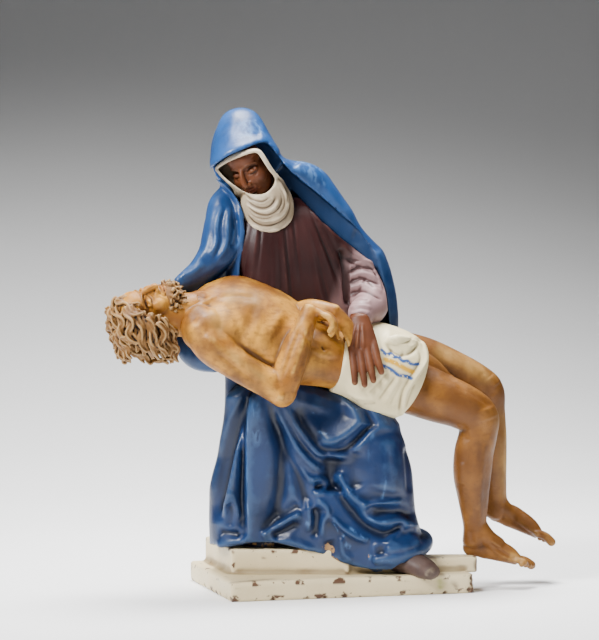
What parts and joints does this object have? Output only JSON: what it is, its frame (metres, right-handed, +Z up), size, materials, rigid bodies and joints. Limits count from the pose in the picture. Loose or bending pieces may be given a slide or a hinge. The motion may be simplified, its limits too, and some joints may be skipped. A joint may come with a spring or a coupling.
{
  "type": "pieta statue",
  "caption": "Painted clay pieta: a seated draped woman holds a dead man across her lap, on a low stepped base that stands on its flat underside.",
  "frame": {"origin": "middle of the base slab's underside, at half its length and half its depth", "axes": "+Z up, -Y to the front, +X along the base's length towards the dead man's feet"},
  "size_m": [0.5906, 0.2342, 0.608],
  "materials": {
    "mantle_paint": "glossy blue oil paint over fired clay, streaked and worn",
    "dress_paint": "dark maroon paint, satin",
    "linen_paint": "cream paint, satin, with blue and yellow stripes on the cloth round the hips",
    "flesh_paint": "ochre flesh paint with brown patina, satin",
    "hair_paint": "light brown paint with dark recesses, satin",
    "shoe_paint": "dark purple-brown paint, worn",
    "base_paint": "cream paint with brown chips along the edges, satin"
  },
  "bodies": {
    "root": {"pieta_group": "mantle_paint"}
  },
  "joints": []
}
